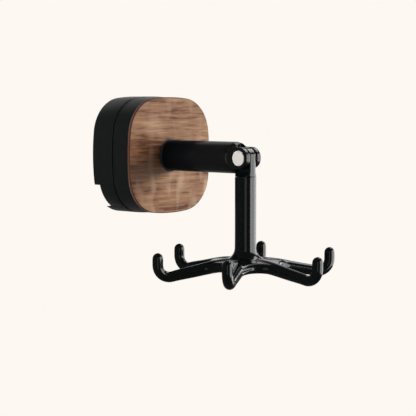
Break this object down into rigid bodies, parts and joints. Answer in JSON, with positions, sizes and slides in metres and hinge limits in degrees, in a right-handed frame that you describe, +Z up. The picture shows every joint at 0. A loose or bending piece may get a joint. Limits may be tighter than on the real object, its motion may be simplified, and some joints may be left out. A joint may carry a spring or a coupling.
{
  "type": "rotating utensil hook",
  "caption": "Wall hook on a locking suction mount with a wooden face: a round arm, a folding joint and a hanging claw of upturned hooks that turns round its stem.",
  "frame": {"origin": "centre of the mount's wall face, in the wall's plane", "axes": "+Z up, +Y into the wall, -Y out to the room along the arm, +X to the right seen from the room"},
  "size_m": [0.1042, 0.1567, 0.1133],
  "materials": {
    "housing_black": "satin black moulded plastic",
    "inner_plastic": "natural acetal, unpainted",
    "screw_steel": "bright zinc-plated steel",
    "cup_rubber": "soft dark elastomer, smooth",
    "stud_brass": "turned brass",
    "tape": "double-sided foam tape",
    "walnut": "sealed walnut with level grain",
    "arm_black": "fine satin black powder coat",
    "head_black": "glossy black enamel",
    "pin_steel": "light satin stainless steel",
    "claw_black": "glossy black moulding"
  },
  "bodies": {
    "wall_base": {"rear_housing": "housing_black", "hub_retainer": "inner_plastic", "hub_screws": "screw_steel", "thrust_washer": "screw_steel"},
    "cup_draw": {"suction_cup": "cup_rubber", "cup_stud": "stud_brass"},
    "front_turn": {"front_housing": "housing_black", "carrier_plate": "inner_plastic", "carrier_screws": "screw_steel", "lock_nut": "inner_plastic", "adhesive_sheet": "tape", "wood_face": "walnut", "arm_collar": "housing_black", "arm": "arm_black", "arm_screw": "screw_steel", "arm_washer": "screw_steel", "pivot_barrel": "pin_steel", "pivot_screw": "pin_steel", "pivot_washers": "inner_plastic"},
    "fold_head": {"swivel_head": "head_black", "swivel_screw": "screw_steel", "swivel_washer": "screw_steel"},
    "claw": {"stem_claw": "claw_black", "swivel_bush": "inner_plastic", "hub_plug": "claw_black"}
  },
  "joints": [
    {"name": "lock_twist", "type": "hinge", "parent": "wall_base", "child": "front_turn", "pos_m": [0, 0, 0], "axis": [0, -1, 0], "range_deg": [0, 90]},
    {"name": "stud_draw", "type": "slide", "parent": "wall_base", "child": "cup_draw", "axis": [0, 1, 0], "range_m": [0, 0.0025], "deforming": ["suction_cup"]},
    {"name": "stem_fold", "type": "hinge", "parent": "front_turn", "child": "fold_head", "pos_m": [0, -0.097, 0], "axis": [-1, 0, 0], "range_deg": [0, 180]},
    {"name": "claw_spin", "type": "hinge", "parent": "fold_head", "child": "claw", "pos_m": [0, -0.097, 0], "axis": [0, 0, 1], "continuous": true}
  ],
  "couplings": [
    {"joint": "stud_draw", "follows": "lock_twist", "m_per_rad": 0.00159}
  ]
}
